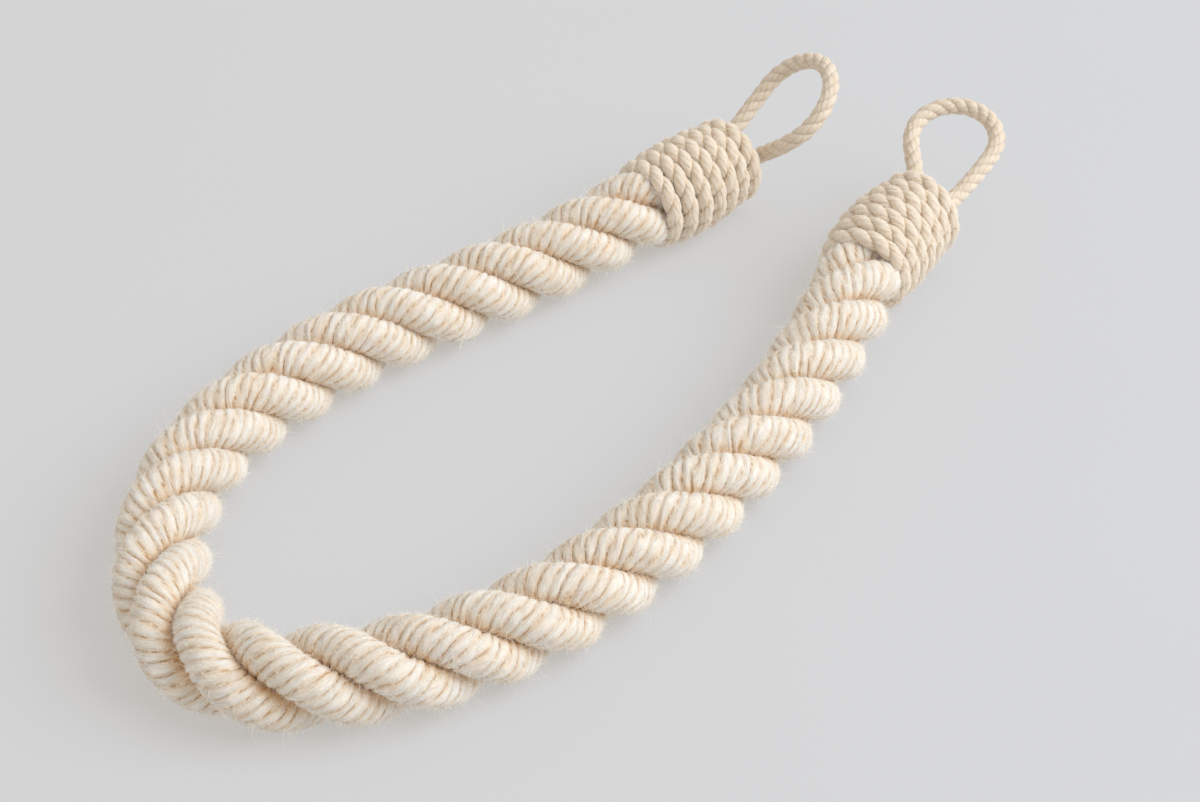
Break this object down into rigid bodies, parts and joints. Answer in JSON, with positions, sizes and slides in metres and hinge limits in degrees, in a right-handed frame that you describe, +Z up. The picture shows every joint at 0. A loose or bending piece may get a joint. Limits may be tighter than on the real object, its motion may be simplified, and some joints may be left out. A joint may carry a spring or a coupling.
{
  "type": "rope curtain tieback",
  "caption": "Thick laid rope of soft cream yarn lying in a U, its ends bound with wound cord and fitted with small cord loops, for holding a gathered curtain back to a wall hook.",
  "frame": {"origin": "centre of the bounding box in plan, on the surface that the tieback lies on", "axes": "+X from the bend of the U towards the two loops, +Y towards the left arm of the U, +Z up"},
  "size_m": [0.3432, 0.1543, 0.0476],
  "materials": {
    "rope_yarn": "soft spun cream yarn, matt and fuzzy",
    "binding_cord": "wound twisted cream cord, matt",
    "loop_cord": "twisted cream cord, matt"
  },
  "bodies": {
    "root": {"rope": "rope_yarn", "binding_left": "binding_cord", "loop_left": "loop_cord", "binding_right": "binding_cord", "loop_right": "loop_cord"}
  },
  "joints": []
}
